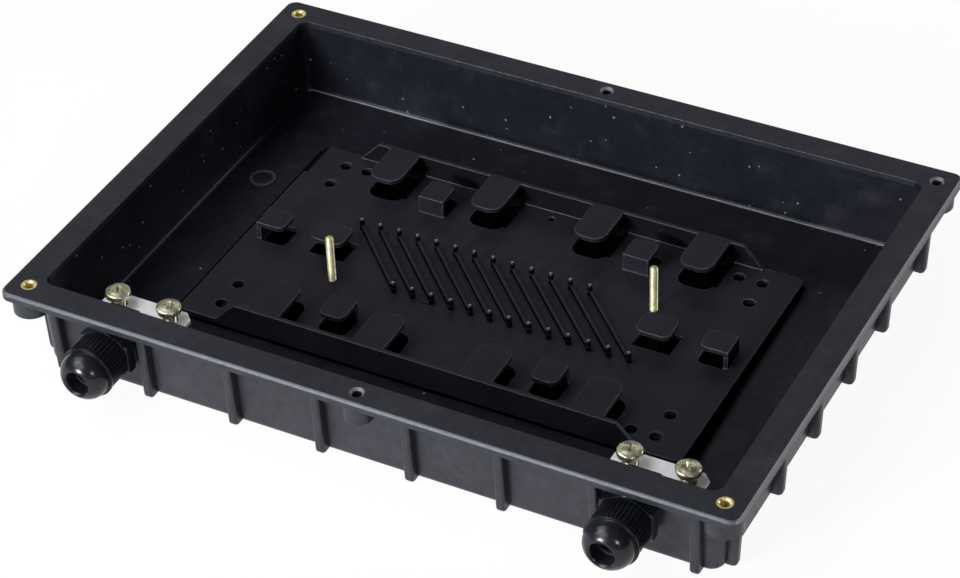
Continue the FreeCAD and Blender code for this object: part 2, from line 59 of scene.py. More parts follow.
# Base, in millimetres: the space inside it, that space clear of the left and rear wall, and the rim's edge,
# which gets a painted highlight
opening_space = ((-126.2, -89.2, 2.0), (126.2, 89.2, 33.98))
clear_of_walls = ((-123.0, -95.0, 0.0), (130.0, 86.0, 35.0))
rim_middle = ((-135.5, -98.5, 30.0), (135.5, 98.5, 35.0))
rim_highlight_low, rim_highlight_high = 32.9, 33.97
right_highlight_start = 136.2

# Base, in millimetres: shaded floor under the tray and along its right edge, where it widens to the front
tray_gap = ((-100.1, -53.7, 2.0), (97.0, 53.7, 4.6))
right_shade = ((97.0, -53.7, 2.0), (104.0, 53.7, 4.6))
right_shade_slope = 0.045
right_shade_start, right_shade_end = 98.2, 100.6

# Base, in millimetres: plain rim holes with painted highlight rings, ring mark on the floor and a painted
# highlight line along the rear floor fillet
plain_hole_places = ((0.0, -94.9), (0.0, 94.9), (129.7, 92.7))
hole_highlight_ring = (1.75, 2.65)
floor_mark_place = (-111.0, 29.0)
floor_mark_ring = (3.0, 6.0)
floor_mark_low = 3.8
fillet_highlight_line = ((-125.0, 85.9, 3.78), (125.0, 88.0, 4.05))

# Tray, in millimetres: the field of fins, the sides of fins and posts, and the faces of the long walls,
# where shade is painted
fin_reach_x, fin_reach_y = 62.0, 15.5
fin_field = ((-fin_reach_x, -fin_reach_y, 6.9), (fin_reach_x, fin_reach_y, 12.0))
shaded_fin_sides = ((-fin_reach_x, -fin_reach_y, 7.05), (fin_reach_x, fin_reach_y, 8.9))
shaded_post_sides = ((-fin_reach_x, -fin_reach_y, 9.25), (fin_reach_x, fin_reach_y, 10.9))
front_wall_face = ((-82.0, -52.4, 7.3), (82.0, -51.9, 15.1))
rear_wall_face = ((-82.0, 51.9, 7.3), (82.0, 52.4, 15.1))

# Tray, in millimetres: shade under a rear tab, repeated at its pitch, on hook stems and on end hooks
tab_pitch = 41.5
tab_shade = ((14.0, 36.0, 4.9), (29.0, 53.9, 13.55))
hook_shades = (((61.0, -4.7, 4.9), (66.6, 6.1, 12.1)), ((-66.6, -6.1, 4.9), (-61.0, 4.7, 12.1)),
               ((91.9, -3.2, 7.05), (92.1, 6.6, 13.6)), ((-92.1, -6.6, 7.05), (-91.9, 3.2, 13.6)))

# Tray, in millimetres: width of the painted edge highlights, and posts, with a painted glint on their tips
edge_highlight_width = 0.55
post_glint_start = 11.5
post_top = 11.6
post_top_margin = 0.01
post_dome = 0.75

# Studs and clamp screws, in millimetres
stud_places = ((-55.4, -16.2), (55.4, 16.2))
stud_diameter = 3.0
stud_pitch = 0.5
stud_thread_depth = 0.28
stud_chamfer = 0.5
screw_spacing = 20.6
screw_diameter = 5.0
screw_pitch = 0.8
screw_thread_depth = 0.45
screw_chamfer = 0.6
head_diameter = 9.0
head_height = 2.9
head_crown = 1.0
head_edge = 0.9
head_edge_drop = 0.2
head_foot_chamfer = 0.25
head_soft_edge = 0.12
recess_span = 4.6
recess_width = 1.1
recess_depth = 1.7
recess_rise = 0.6
recess_top_share, recess_foot_share = 1.15, 0.55

# Steps of the turned meshes, shares of a thread's flank, and the seed of the screws' turns
rod_sides = 28
rows_per_thread = 6.0
flank_start, flank_end = 0.12, 0.88
head_sides = 48
crest_steps = 5
edge_turns = (0.4, 0.8, 1.2, math.pi / 2)
screw_turn_seed = 4

# Copies of solids: weld distance and radii in millimetres, angles in degrees
weld_distance = 0.002
flat_angle = 0.5
post_edge_angle = 60
sharp_angle = 40
recess_edge_angle = 38
tray_radius = 0.25
bar_radius = 0.2
gland_body_radius = 0.25
gland_cap_radius = 0.12
locknut_radius = 0.3
locknut_turn = 30

# Colours that are used more than once
deep_shade = (0.0006, 0.0006, 0.0010)
dust_colour = (0.30, 0.30, 0.32)

# Lamps: azimuth and elevation in degrees, then distance, width and height in metres, and power
lamps = {
    "front_lamp": (-18, 17, 1.1, 0.24, 0.14, 12.0),
    "front_panel": (-32, 46, 1.1, 0.80, 0.60, 5.8),
    "left_panel": (-76, 58, 2.2, 1.50, 1.24, 18.5),
    "front_right_lamp": (47, 28, 1.5, 0.18, 0.18, 4.2),
    "rear_right_lamp": (138, 24, 1.4, 0.30, 0.30, 4.0),
    "rear_left_panel": (-164, 34, 2.6, 2.9, 1.15, 4.4),
}

# World and floor, which reaches out in metres
world_colour = (0.030, 0.031, 0.033, 1)
floor_reach = 6.0
floor_colour = (0.90, 0.90, 0.90, 1)
floor_white_share = 0.93


# Node helpers

def math_node(tree, operation, first, second=None):
    """A maths node of a shader or geometry tree; each input is a socket or a number."""
    node = tree.nodes.new("ShaderNodeMath")
    node.operation = operation
    for socket, value in zip(node.inputs, (first, second)):
        if value is None:
            continue
        if hasattr(value, "is_output"):
            tree.links.new(value, socket)
        else:
            socket.default_value = value
    return node.outputs[0]


def times(tree, first, second):
    return math_node(tree, "MULTIPLY", first, second)


def plus(tree, first, second):
    return math_node(tree, "ADD", first, second)


def minus(tree, first, second):
    return math_node(tree, "SUBTRACT", first, second)


def over(tree, first, second):
    return math_node(tree, "DIVIDE", first, second)


def beyond(tree, socket, start):
    """1 past a length in millimetres; 0 elsewhere."""
    return math_node(tree, "GREATER_THAN", socket, start * MM)


def between(tree, socket, low, high):
    """1 between two lengths in millimetres; 0 elsewhere."""
    return times(tree, beyond(tree, socket, low), math_node(tree, "LESS_THAN", socket, high * MM))


def finish(name):
    """A new material; gives its tree, shader and object coordinates."""
    material = bpy.data.materials.new(name)
    material.use_nodes = True
    tree = material.node_tree
    shader = tree.nodes["Principled BSDF"]
    coords = tree.nodes.new("ShaderNodeTexCoord").outputs["Object"]
    return material, tree, shader, coords


def lengths(tree, coords):
    """The three lengths of object coordinates."""
    node = tree.nodes.new("ShaderNodeSeparateXYZ")
    tree.links.new(coords, node.inputs[0])
    return node.outputs[0], node.outputs[1], node.outputs[2]


def stretched(tree, coords, scale):
    """Coordinates scaled along each axis."""
    node = tree.nodes.new("ShaderNodeMapping")
    node.inputs["Scale"].default_value = scale
    tree.links.new(coords, node.inputs["Vector"])
    return node.outputs["Vector"]


def noise(tree, coords, scale, detail=3.0, roughness=0.55):
    """Soft noise from 0 to 1."""
    node = tree.nodes.new("ShaderNodeTexNoise")
    node.inputs["Scale"].default_value = scale
    node.inputs["Detail"].default_value = detail
    node.inputs["Roughness"].default_value = roughness
    tree.links.new(coords, node.inputs["Vector"])
    return node.outputs["Fac"]


def cells(tree, coords, scale):
    """Distance to the nearest cell point, and two random values of that cell."""
    node = tree.nodes.new("ShaderNodeTexVoronoi")
    node.inputs["Scale"].default_value = scale
    tree.links.new(coords, node.inputs["Vector"])
    pick = tree.nodes.new("ShaderNodeSeparateColor")
    tree.links.new(node.outputs["Color"], pick.inputs[0])
    return node.outputs["Distance"], pick.outputs[0], pick.outputs[1]


def spread(tree, value, given, wanted):
    """Maps a value from a given range to a wanted one, clamped."""
    node = tree.nodes.new("ShaderNodeMapRange")
    tree.links.new(value, node.inputs["Value"])
    for socket, number in zip(node.inputs[1:5], (*given, *wanted)):
        socket.default_value = number
    return node.outputs["Result"]


def blended(tree, factor, first, second):
    """Mixes two colours, each a socket or a plain RGB triple."""
    node = tree.nodes.new("ShaderNodeMix")
    node.data_type = "RGBA"
    tree.links.new(factor, node.inputs[0])
    for socket, colour in ((node.inputs[6], first), (node.inputs[7], second)):
        if hasattr(colour, "is_output"):
            tree.links.new(colour, socket)
        else:
            socket.default_value = (*colour, 1.0)
    return node.outputs[2]


def touched(tree, base, mask, share, colour):
    """A base colour that takes a share of another colour where a mask is 1."""
    return blended(tree, times(tree, mask, share), base, colour)


def relief(tree, shader, layers):
    """Bump layers of (height, strength, depth in millimetres), one on top of the other."""
    normal = None
    for height, strength, depth in layers:
        node = tree.nodes.new("ShaderNodeBump")
        node.inputs["Strength"].default_value = strength
        node.inputs["Distance"].default_value = depth * MM
        tree.links.new(height, node.inputs["Height"])
        if normal:
            tree.links.new(normal, node.inputs["Normal"])
        normal = node.outputs["Normal"]
    tree.links.new(normal, shader.inputs["Normal"])


def dusty(tree, coords, cell_scale, share, size):
    """Sparse round specks of several sizes: 1 on a speck, 0 elsewhere."""
    distance, choice, own_size = cells(tree, coords, cell_scale)
    chosen = math_node(tree, "LESS_THAN", choice, share)
    radius = spread(tree, own_size, (0.0, 1.0), (0.3 * size, size))
    return times(tree, chosen, math_node(tree, "LESS_THAN", distance, radius))


def inside(tree, place, low, high):
    """1 between two corners of a box, given in millimetres; 0 elsewhere."""
    along_x, along_y, along_z = (between(tree, *span) for span in zip(place, low, high))
    return times(tree, times(tree, along_x, along_y), along_z)


def inside_any(tree, place, boxes):
    """The sum of several boxes' masks."""
    total = inside(tree, place, *boxes[0])
    for corners in boxes[1:]:
        total = plus(tree, total, inside(tree, place, *corners))
    return total


def ring(tree, coords, x, y, inner, outer):
    """1 between two radii round an upright axis, all in millimetres; 0 elsewhere."""
    node = tree.nodes.new("ShaderNodeVectorMath")
    node.operation = "DISTANCE"
    node.inputs[1].default_value = (x * MM, y * MM, 0)
    tree.links.new(stretched(tree, coords, (1.0, 1.0, 0.0)), node.inputs[0])
    return between(tree, node.outputs["Value"], inner, outer)


def edge_line(tree, radius):
    """1 along sharp edges and in inner corners, within a radius in millimetres; 0 on flat faces."""
    rounded = tree.nodes.new("ShaderNodeBevel")
    rounded.samples = 6
    rounded.inputs["Radius"].default_value = radius * MM
    agreement = tree.nodes.new("ShaderNodeVectorMath")
    agreement.operation = "DOT_PRODUCT"
    tree.links.new(rounded.outputs[0], agreement.inputs[0])
    tree.links.new(tree.nodes.new("ShaderNodeNewGeometry").outputs["Normal"], agreement.inputs[1])
    return spread(tree, agreement.outputs["Value"], (0.985, 0.85), (0.0, 1.0))


# Finishes

def clouded(tree, coords, cloud_scale, mottle_scale, dark, light):
    """A colour between two tones, with the clouded tone and the fine mottle that it follows."""
    cloud = noise(tree, coords, scale=cloud_scale, detail=4.0)
    mottle = noise(tree, coords, scale=mottle_scale, detail=2.0)
    tone = plus(tree, times(tree, cloud, 0.6), times(tree, mottle, 0.4))
    return blended(tree, spread(tree, tone, (0.36, 0.64), (0.0, 1.0)), dark, light), tone, mottle


def tray_shadow(tree, place):
    """1 on the floor under the tray, fading out in a wedge along its right edge; 0 elsewhere."""
    slant = plus(tree, place[0], times(tree, place[1], right_shade_slope))
    fade = spread(tree, slant, (right_shade_start * MM, right_shade_end * MM), (1.0, 0.0))
    wedge = times(tree, inside(tree, place, *right_shade), fade)
    return plus(tree, inside(tree, place, *tray_gap), wedge)


def dust_and_painted_light_inside(tree, coords, place, base, inner, under):
    """The base's colour: hazy, with painted shade inside, a painted highlight on the rear floor fillet, the
    tray's painted shadow and dust specks.
    """
    # Painted shade: the inside of the base is darker than the outside.
    base = touched(tree, base, inner, share=0.7, colour=(0.0024, 0.0031, 0.0066))
    haze = noise(tree, coords, scale=75.0, detail=5.0, roughness=0.65)
    base = blended(tree, spread(tree, haze, (0.54, 0.78), (0.0, 0.16)), base, (0.070, 0.073, 0.084))
    # Painted highlight along the rear floor fillet, broken up by streaks.
    streaks = noise(tree, stretched(tree, coords, (0.15, 1.0, 1.0)), scale=240.0, detail=3.0)
    swept = spread(tree, streaks, (0.3, 0.6), (0.15, 0.60))
    fillet_highlight = times(tree, inside(tree, place, *fillet_highlight_line), swept)
    base = blended(tree, fillet_highlight, base, (0.34, 0.345, 0.37))
    base = blended(tree, under, base, (0.0008, 0.0008, 0.0012))
    specks = dusty(tree, coords, cell_scale=150.0, share=0.50, size=0.085)
    specks = times(tree, specks, minus(tree, inner, under))
    base = touched(tree, base, specks, share=0.55, colour=dust_colour)
    walls = minus(tree, inner, inside(tree, place, *clear_of_walls))
    wall_specks = times(tree, dusty(tree, coords, cell_scale=190.0, share=0.60, size=0.10), walls)
    return touched(tree, base, wall_specks, share=0.45, colour=dust_colour)


def mark_and_painted_highlights(tree, coords, place, base):
    """The base's colour with painted highlight rings round the plain holes, the floor mark, and a painted
    highlight on the rim's outer edge.
    """
    # Painted highlight rings on the chamfers of the plain holes.
    for x, y in plain_hole_places:
        base = blended(tree, ring(tree, coords, x, y, *hole_highlight_ring), base, (0.100, 0.102, 0.108))
    mark = ring(tree, coords, *floor_mark_place, *floor_mark_ring)
    mark = times(tree, mark, beyond(tree, place[2], floor_mark_low))
    base = touched(tree, base, mark, share=0.5, colour=(0.060, 0.062, 0.070))
    # Painted highlight along the rim's outer edge, brighter on its right face.
    rim_highlight = between(tree, place[2], rim_highlight_low, rim_highlight_high)
    rim_highlight = minus(tree, rim_highlight, inside(tree, place, *rim_middle))
    base = touched(tree, base, rim_highlight, share=0.6, colour=(0.090, 0.092, 0.105))
    right_rim_highlight = times(tree, rim_highlight, beyond(tree, place[0], right_highlight_start))
    return touched(tree, base, right_rim_highlight, share=0.6, colour=(0.260, 0.265, 0.280))


def black_moulding():
    """Satin black moulding with a fine grain, uneven sheen and dust on the inside, and painted shade and
    highlights.
    """
    material, tree, shader, coords = finish("black_moulding")
    place = lengths(tree, coords)
    inner = inside(tree, place, *opening_space)
    under = tray_shadow(tree, place)
    base, tone, mottle = clouded(tree, coords, cloud_scale=38.0, mottle_scale=620.0,
                                 dark=(0.0066, 0.0074, 0.0112), light=(0.0112, 0.0122, 0.0172))
    base = dust_and_painted_light_inside(tree, coords, place, base, inner, under)
    base = mark_and_painted_highlights(tree, coords, place, base)
    tree.links.new(base, shader.inputs["Base Color"])
    shader.inputs["Specular Tint"].default_value = (0.86, 0.88, 1.0, 1)
    gloss = spread(tree, plus(tree, inner, under), (0.0, 2.0), (0.58, 0.0))
    patches = noise(tree, coords, scale=260.0, detail=5.0, roughness=0.7)
    patchy = spread(tree, patches, (0.3, 0.7), (0.78, 1.22))
    tree.links.new(times(tree, gloss, patchy), shader.inputs["Specular IOR Level"])
    tree.links.new(spread(tree, tone, (0.3, 0.7), (0.38, 0.52)), shader.inputs["Roughness"])
    grain = noise(tree, coords, scale=2300.0, detail=2.0)
    relief(tree, shader, ((mottle, 0.16, 0.06), (grain, 0.24, 0.05)))
    return material


def worn_tray(tree, coords, base):
    """The tray's colour with faint smudges and scuffs."""
    smudge = noise(tree, stretched(tree, coords, (1.0, 2.2, 1.0)), scale=42.0, detail=6.0, roughness=0.7)
    base = blended(tree, spread(tree, smudge, (0.58, 0.80), (0.0, 0.30)), base, (0.026, 0.024, 0.027))
    scuff = noise(tree, stretched(tree, coords, (0.35, 4.0, 1.0)), scale=190.0, detail=5.0, roughness=0.7)
    return blended(tree, spread(tree, scuff, (0.68, 0.76), (0.0, 0.35)), base, (0.045, 0.043, 0.048))


def tray_plastic():
    """Black tray plastic, a little purple, more matt than the base, with painted shade on its sides and
    painted highlights on edges and post tips.
    """
    material, tree, shader, coords = finish("tray_plastic")
    place = lengths(tree, coords)
    base, tone, mottle = clouded(tree, coords, cloud_scale=55.0, mottle_scale=700.0,
                                 dark=(0.0050, 0.0048, 0.0078), light=(0.0085, 0.0082, 0.0120))
    base = worn_tray(tree, coords, base)
    # Painted shade on the inner faces of the long walls.
    walls = inside_any(tree, place, (front_wall_face, rear_wall_face))
    base = touched(tree, base, walls, share=0.7, colour=deep_shade)
    # Painted highlights along edges and in inner corners, outside the fins.
    edge_highlights = minus(tree, edge_line(tree, edge_highlight_width), inside(tree, place, *fin_field))
    base = touched(tree, base, edge_highlights, share=0.8, colour=(0.200, 0.200, 0.220))
    # Painted shade on the sides of fins and posts, under the rear tabs and on the hooks.
    within_pitch = math_node(tree, "FLOORED_MODULO", place[0], tab_pitch * MM)
    under_tabs = inside(tree, (within_pitch, place[1], place[2]), *tab_shade)
    side_shade = plus(tree, inside_any(tree, place, (shaded_fin_sides, shaded_post_sides, *hook_shades)), under_tabs)
    base = blended(tree, side_shade, base, deep_shade)
    # Painted glints on the post tips.
    tip_glints = between(tree, place[2], post_glint_start, post_top + post_top_margin)
    among_fins = between(tree, place[1], -fin_reach_y, fin_reach_y)
    base = blended(tree, times(tree, tip_glints, among_fins), base, (0.13, 0.13, 0.15))
    tree.links.new(base, shader.inputs["Base Color"])
    # Less specular where shade is painted.
    dull = plus(tree, side_shade, times(tree, walls, 0.6))
    tree.links.new(spread(tree, dull, (0.0, 1.0), (0.34, 0.05)), shader.inputs["Specular IOR Level"])
    shader.inputs["Specular Tint"].default_value = (0.80, 0.78, 1.0, 1)
    tree.links.new(spread(tree, tone, (0.3, 0.7), (0.44, 0.60)), shader.inputs["Roughness"])
    grain = noise(tree, coords, scale=2600.0, detail=2.0)
    relief(tree, shader, ((mottle, 0.08, 0.05), (grain, 0.18, 0.04)))
    return material


def gland_nylon():
    """Smooth, glossier black nylon of the cable glands."""
    material, tree, shader, coords = finish("gland_nylon")
    cloud = noise(tree, coords, scale=160.0, detail=4.0)
    fine = noise(tree, coords, scale=1500.0, detail=2.0)
    base = blended(tree, spread(tree, cloud, (0.35, 0.65), (0.0, 1.0)),
                   (0.0060, 0.0068, 0.0100), (0.0090, 0.0100, 0.0140))
    tree.links.new(base, shader.inputs["Base Color"])
    shader.inputs["Specular IOR Level"].default_value = 0.32
    tree.links.new(spread(tree, cloud, (0.3, 0.7), (0.18, 0.28)), shader.inputs["Roughness"])
    relief(tree, shader, ((fine, 0.06, 0.03),))
    return material


def black_rubber():
    """Dull rubber of the sealing washers and sleeves."""
    material, tree, shader, coords = finish("black_rubber")
    cloud = noise(tree, coords, scale=240.0, detail=4.0)
    fine = noise(tree, coords, scale=3000.0, detail=2.0)
    base = blended(tree, cloud, (0.010, 0.010, 0.011), (0.024, 0.023, 0.024))
    tree.links.new(base, shader.inputs["Base Color"])
    tree.links.new(spread(tree, cloud, (0.3, 0.7), (0.72, 0.88)), shader.inputs["Roughness"])
    relief(tree, shader, ((fine, 0.25, 0.04),))
    return material


def turned_metal(name, dark, light, roughness, metallic, turning_scale):
    """Turned or plated metal with fine turning marks round its axis and a cloudy tarnish."""
    material, tree, shader, coords = finish(name)
    cloud = noise(tree, coords, scale=420.0, detail=4.0)
    turning = noise(tree, stretched(tree, coords, (0.05, 0.05, 1.0)), scale=turning_scale, detail=2.0)
    base = blended(tree, spread(tree, cloud, (0.34, 0.66), (0.0, 1.0)), dark, light)
    tree.links.new(base, shader.inputs["Base Color"])
    shader.inputs["Metallic"].default_value = metallic
    rough = spread(tree, cloud, (0.3, 0.7), (roughness - 0.06, roughness + 0.08))
    tree.links.new(rough, shader.inputs["Roughness"])
    relief(tree, shader, ((turning, 0.12, 0.03), (cloud, 0.05, 0.05)))
    return material


def plated_steel():
    """Pale zinc-plated sheet of the clamp bars: matt, faintly mottled and rubbed."""
    material, tree, shader, coords = finish("plated_steel")
    spangle = cells(tree, coords, scale=700.0)[1]
    cloud = noise(tree, coords, scale=260.0, detail=5.0)
    rubbed = noise(tree, stretched(tree, coords, (0.25, 3.0, 1.0)), scale=900.0, detail=3.0)
    tone = plus(tree, times(tree, cloud, 0.75), times(tree, spangle, 0.25))
    base = blended(tree, spread(tree, tone, (0.3, 0.72), (0.0, 1.0)), (0.81, 0.83, 0.85), (0.95, 0.96, 0.97))
    tree.links.new(base, shader.inputs["Base Color"])
    shader.inputs["Metallic"].default_value = 0.3
    tree.links.new(spread(tree, rubbed, (0.3, 0.7), (0.36, 0.52)), shader.inputs["Roughness"])
    relief(tree, shader, ((rubbed, 0.08, 0.03), (cloud, 0.06, 0.06)))
    return material


# Pieces

def new_object(name, mesh):
    """An object of the scene with a mesh."""
    piece = bpy.data.objects.new(name, mesh)
    bpy.context.scene.collection.objects.link(piece)
    return piece


def settled(piece, name):
    """A new object with the piece's evaluated mesh; the piece itself is removed."""
    evaluated = piece.evaluated_get(bpy.context.evaluated_depsgraph_get())
    mesh = bpy.data.meshes.new_from_object(evaluated)
    mesh.name = name
    bpy.data.objects.remove(piece)
    return new_object(name, mesh)


def rounded_edges(piece, radius, angle):
    """Adds a bevel of a small radius, in millimetres, to edges sharper than an angle, in degrees."""
    bevel = piece.modifiers.new("radius", "BEVEL")
    bevel.width = radius * MM
    bevel.segments = 2
    bevel.limit_method = "ANGLE"
    bevel.angle_limit = math.radians(angle)
    return bevel


def softened(node, radius, dome_height=None, turn=0):
    """A welded copy of a CAD node whose sharp edges get a small moulded or stamped radius.

    Round pins that end at the dome height, in millimetres, get domed tops. A nut can be turned, in degrees.
    """
    source = frame["nodes"][node].data
    mesh = bpy.data.meshes.new(node)
    mesh.from_pydata([v.co for v in source.vertices], [], [p.vertices for p in source.polygons])
    work = bmesh.new()
    work.from_mesh(mesh)
    bmesh.ops.remove_doubles(work, verts=work.verts, dist=weld_distance * MM)
    bmesh.ops.dissolve_degenerate(work, edges=work.edges, dist=weld_distance * MM)
    bmesh.ops.dissolve_limit(work, angle_limit=math.radians(flat_angle), verts=work.verts, edges=work.edges)
    if turn:
        low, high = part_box(node)
        bmesh.ops.rotate(work, verts=work.verts, cent=(low + high) / 2,
                         matrix=Matrix.Rotation(math.radians(turn), 3, "Y"))
    if dome_height:
        rims = [edge for edge in work.edges if edge.calc_face_angle(0) > math.radians(post_edge_angle)
                and all(abs(vert.co.z - dome_height * MM) < post_top_margin * MM for vert in edge.verts)]
        bmesh.ops.bevel(work, geom=rims, offset=post_dome * MM, segments=4, profile=0.5, affect="EDGES")
    for face in work.faces:
        face.smooth = True
    work.to_mesh(mesh)
    work.free()
    piece = new_object(node + "_work", mesh)
    bevel = rounded_edges(piece, radius, sharp_angle)
    bevel.use_clamp_overlap = False
    bevel.miter_outer = "MITER_ARC"
    flats = piece.modifiers.new("flats", "WEIGHTED_NORMAL")
    flats.weight = 100
    return settled(piece, node + "_finished")


def stands_for(piece, node, material):
    """The piece takes the place of a CAD node, on that node's body."""
    piece.data.materials.clear()
    piece.data.materials.append(material)
    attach(piece, body_of[node])
    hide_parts(node)


def geometry_tree(name, inputs):
    """An empty geometry tree with the named inputs after its geometry."""
    tree = bpy.data.node_groups.new(name, "GeometryNodeTree")
    tree.interface.new_socket("Geometry", in_out="INPUT", socket_type="NodeSocketGeometry")
    for label, kind in inputs:
        tree.interface.new_socket(label, in_out="INPUT", socket_type=kind)
    tree.interface.new_socket("Geometry", in_out="OUTPUT", socket_type="NodeSocketGeometry")
    given = tree.nodes.new("NodeGroupInput")
    result = tree.nodes.new("NodeGroupOutput")
    return tree, given.outputs, result.inputs[0]


def chained(tree, kind, links, values=()):
    """A node whose inputs are linked to sockets or set to values, each by its name."""
    node = tree.nodes.new(kind)
    for label, socket in links:
        tree.links.new(socket, node.inputs[label])
    for label, value in values:
        node.inputs[label].default_value = value
    return node


def lifted(tree, shape, height):
    """A shape moved up by a height."""
    way = chained(tree, "ShaderNodeCombineXYZ", (("Z", height),))
    moved = chained(tree, "GeometryNodeTransform", (("Geometry", shape), ("Translation", way.outputs[0])))
    return moved.outputs[0]


def run_tree(piece, tree, values):
    """Runs a geometry tree on a piece with the given inputs and leaves a plain mesh."""
    modifier = piece.modifiers.new(tree.name, "NODES")
    modifier.node_group = tree
    sockets = {item.name: item.identifier for item in tree.interface.items_tree if item.in_out == "INPUT"}
    for label, value in values.items():
        modifier[sockets[label]] = value
    return settled(piece, tree.name + "_finished")


rod_inputs = (("Radius", "NodeSocketFloat"), ("Length", "NodeSocketFloat"), ("Pitch", "NodeSocketFloat"),
              ("Thread depth", "NodeSocketFloat"), ("Chamfer", "NodeSocketFloat"),
              ("Material", "NodeSocketMaterial"))


def rod_values(diameter, length, pitch, thread_depth, chamfer, material):
    """Values of a threaded rod's inputs; the length is in metres, the other sizes in millimetres."""
    return {"Radius": diameter / 2 * MM, "Length": length, "Pitch": pitch * MM,
            "Thread depth": thread_depth * MM, "Chamfer": chamfer * MM, "Material": material}


def threaded_rod(tree, given):
    """Upright rod from z 0 with a rolled thread and a chamfered top."""
    rows = times(tree, over(tree, given["Length"], given["Pitch"]), rows_per_thread)
    rod = chained(tree, "GeometryNodeMeshCylinder",
                  (("Radius", given["Radius"]), ("Depth", given["Length"]), ("Side Segments", rows)),
                  (("Vertices", rod_sides),))
    raised = lifted(tree, rod.outputs["Mesh"], times(tree, given["Length"], 0.5))
    place = chained(tree, "ShaderNodeSeparateXYZ",
                    (("Vector", tree.nodes.new("GeometryNodeInputPosition").outputs[0]),)).outputs
    turn = over(tree, math_node(tree, "ARCTAN2", place["Y"], place["X"]), 2 * math.pi)
    climb = minus(tree, over(tree, place["Z"], given["Pitch"]), turn)
    slope = minus(tree, times(tree, math_node(tree, "FRACT", climb), 2.0), 1.0)
    flank = chained(tree, "ShaderNodeMapRange", (("Value", math_node(tree, "ABSOLUTE", slope)),),
                    (("From Min", flank_start), ("From Max", flank_end))).outputs[0]
    groove = times(tree, flank, given["Thread depth"])
    from_top = minus(tree, given["Length"], place["Z"])
    cut = math_node(tree, "MAXIMUM", minus(tree, given["Chamfer"], from_top), groove)
    share = over(tree, minus(tree, given["Radius"], cut), given["Radius"])
    moved = chained(tree, "ShaderNodeCombineXYZ",
                    (("X", times(tree, place["X"], share)), ("Y", times(tree, place["Y"], share)),
                     ("Z", place["Z"])))
    shaped = chained(tree, "GeometryNodeSetPosition",
                     (("Geometry", raised), ("Position", moved.outputs[0])))
    return shaped.outputs[0]


def ended(tree, instances, given, result):
    """Ends a tree: real geometry, smooth, in its material."""
    real = chained(tree, "GeometryNodeRealizeInstances", (("Geometry", instances),))
    smooth = chained(tree, "GeometryNodeSetShadeSmooth", (("Geometry", real.outputs[0]),))
    dressed = chained(tree, "GeometryNodeSetMaterial",
                      (("Geometry", smooth.outputs[0]), ("Material", given["Material"])))
    tree.links.new(dressed.outputs[0], result)


def placed_points(name, points):
    """An object of loose points, at which copies are set."""
    mesh = bpy.data.meshes.new(name)
    mesh.from_pydata(points, [], [])
    return new_object(name, mesh)


def tray_studs(material):
    """The two bare studs that stand through the tray."""
    low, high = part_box("tray_studs")
    tree, given, result = geometry_tree("tray_studs", rod_inputs)
    rod = threaded_rod(tree, given)
    copies = chained(tree, "GeometryNodeInstanceOnPoints",
                     (("Points", given["Geometry"]), ("Instance", rod)))
    ended(tree, copies.outputs[0], given, result)
    points = placed_points("stud_points", [(x * MM, y * MM, low.z) for x, y in stud_places])
    return run_tree(points, tree, rod_values(stud_diameter, high.z - low.z, stud_pitch, stud_thread_depth,
                                             stud_chamfer, material))


def screw_head():
    """Pan head on the origin, its underside at z 0, with a tapered cross recess."""
    radius = head_diameter / 2
    shoulder = head_height - head_crown
    dome = (radius ** 2 + head_crown ** 2) / (2 * head_crown)
    inset = radius - head_edge
    reaches = [inset * step / crest_steps for step in range(crest_steps + 1)]
    crest = [(reach, head_height - dome + math.sqrt(dome ** 2 - reach ** 2)) for reach in reaches]
    rim_top = crest[-1][1]
    rim_foot = shoulder - head_edge_drop
    edge = [(inset + head_edge * math.sin(turn), rim_foot + (rim_top - rim_foot) * math.cos(turn))
            for turn in edge_turns]
    profile = crest + edge + [(radius, head_foot_chamfer), (radius - head_foot_chamfer, 0.0), (0.0, 0.0)]
    work = bmesh.new()
    verts = [work.verts.new((r * MM, 0, z * MM)) for r, z in profile]
    edges = [work.edges.new(pair) for pair in zip(verts, verts[1:])]
    bmesh.ops.spin(work, geom=verts + edges, axis=(0, 0, 1), cent=(0, 0, 0), angle=2 * math.pi,
                   steps=head_sides)
    bmesh.ops.remove_doubles(work, verts=work.verts, dist=weld_distance * MM)
    bmesh.ops.recalc_face_normals(work, faces=work.faces)
    mesh = bpy.data.meshes.new("screw_head")
    work.to_mesh(mesh)
    work.free()
    head = new_object("screw_head", mesh)
    cutter = new_object("recess", cross_recess())
    cut = head.modifiers.new("recess", "BOOLEAN")
    cut.operation = "DIFFERENCE"
    cut.solver = "EXACT"
    cut.object = cutter
    rounded_edges(head, head_soft_edge, recess_edge_angle)
    finished = settled(head, "screw_head_cut")
    bpy.data.objects.remove(cutter)
    return finished


def cross_recess():
    """Tapered cross that is cut from a screw head's crown."""
    mesh = bpy.data.meshes.new("recess")
    work = bmesh.new()
    rings = []
    for z, share in ((head_height + recess_rise, recess_top_share),
                     (head_height - recess_depth, recess_foot_share)):
        long, half = recess_span / 2 * share, recess_width / 2 * (0.5 + 0.5 * share)
        corners = []
        for quarter in range(4):
            turn = Quaternion((0, 0, 1), quarter * math.pi / 2)
            corners += [turn @ Vector((long, -half, z)), turn @ Vector((long, half, z)),
                        turn @ Vector((half, half, z))]
        rings.append([work.verts.new(corner * MM) for corner in corners])
    upper, lower = rings
    count = len(upper)
    work.faces.new(upper)
    work.faces.new(lower[::-1])
    for i in range(count):
        j = (i + 1) % count
        work.faces.new((upper[j], upper[i], lower[i], lower[j]))
    bmesh.ops.recalc_face_normals(work, faces=work.faces)
    work.to_mesh(mesh)
    work.free()
    return mesh


